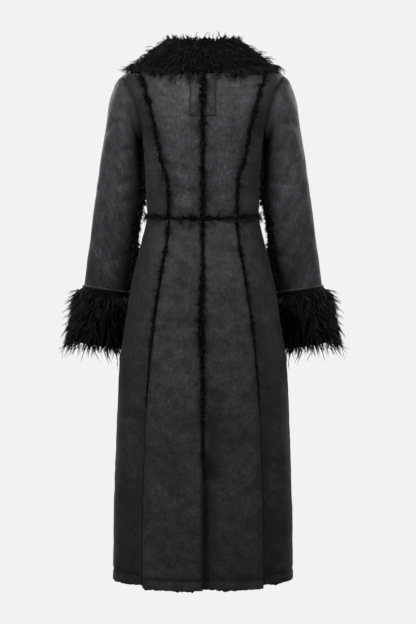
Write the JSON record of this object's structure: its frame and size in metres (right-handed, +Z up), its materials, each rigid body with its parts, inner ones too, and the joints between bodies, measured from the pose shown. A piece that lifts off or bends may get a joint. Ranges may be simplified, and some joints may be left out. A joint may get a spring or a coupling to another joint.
{
  "type": "long coat",
  "caption": "Ankle-length fitted and flared coat in dark fleece-backed suede cloth, filled out with no wearer, with a fur collar, fur cuffs and fur along its seams.",
  "frame": {"origin": "midway between the two points where shoulder and neck meet, where the wearer's neck and shoulders hold the coat", "axes": "+Z up along the centre of the body, -Y towards the front of the coat, +X towards its left side"},
  "size_m": [0.7324, 0.38, 1.3512],
  "materials": {
    "cloth": "black suede-like cloth with a fine crackle and a soft, worn sheen",
    "cloth_side": "the same cloth, a little darker and less worn",
    "fur": "long curly black fur in loose locks",
    "seam_fur": "short tufted black fur pushed out of the seams"
  },
  "bodies": {
    "root": {"back_bodice_left": "cloth", "back_bodice_right": "cloth", "front_bodice_left": "cloth", "front_bodice_right": "cloth", "back_skirt_left": "cloth", "back_skirt_right": "cloth", "front_skirt_left": "cloth", "front_skirt_right": "cloth", "upper_sleeve_left": "cloth", "upper_sleeve_right": "cloth", "sleeve_welt_left": "cloth", "sleeve_welt_right": "cloth", "back_neck_patch": "cloth", "side_back_bodice_left": "cloth_side", "side_back_bodice_right": "cloth_side", "side_back_skirt_left": "cloth_side", "side_back_skirt_right": "cloth_side", "under_sleeve_left": "cloth_side", "under_sleeve_right": "cloth_side", "cuff_left": "fur", "cuff_right": "fur", "collar": "fur", "princess_strip_bodice_left": "seam_fur", "princess_strip_bodice_right": "seam_fur", "princess_strip_skirt_left": "seam_fur", "princess_strip_skirt_right": "seam_fur", "centre_strip_bodice": "seam_fur", "centre_strip_skirt": "seam_fur", "waist_strip": "seam_fur", "sleeve_strip_left": "seam_fur", "sleeve_strip_right": "seam_fur"}
  },
  "joints": []
}
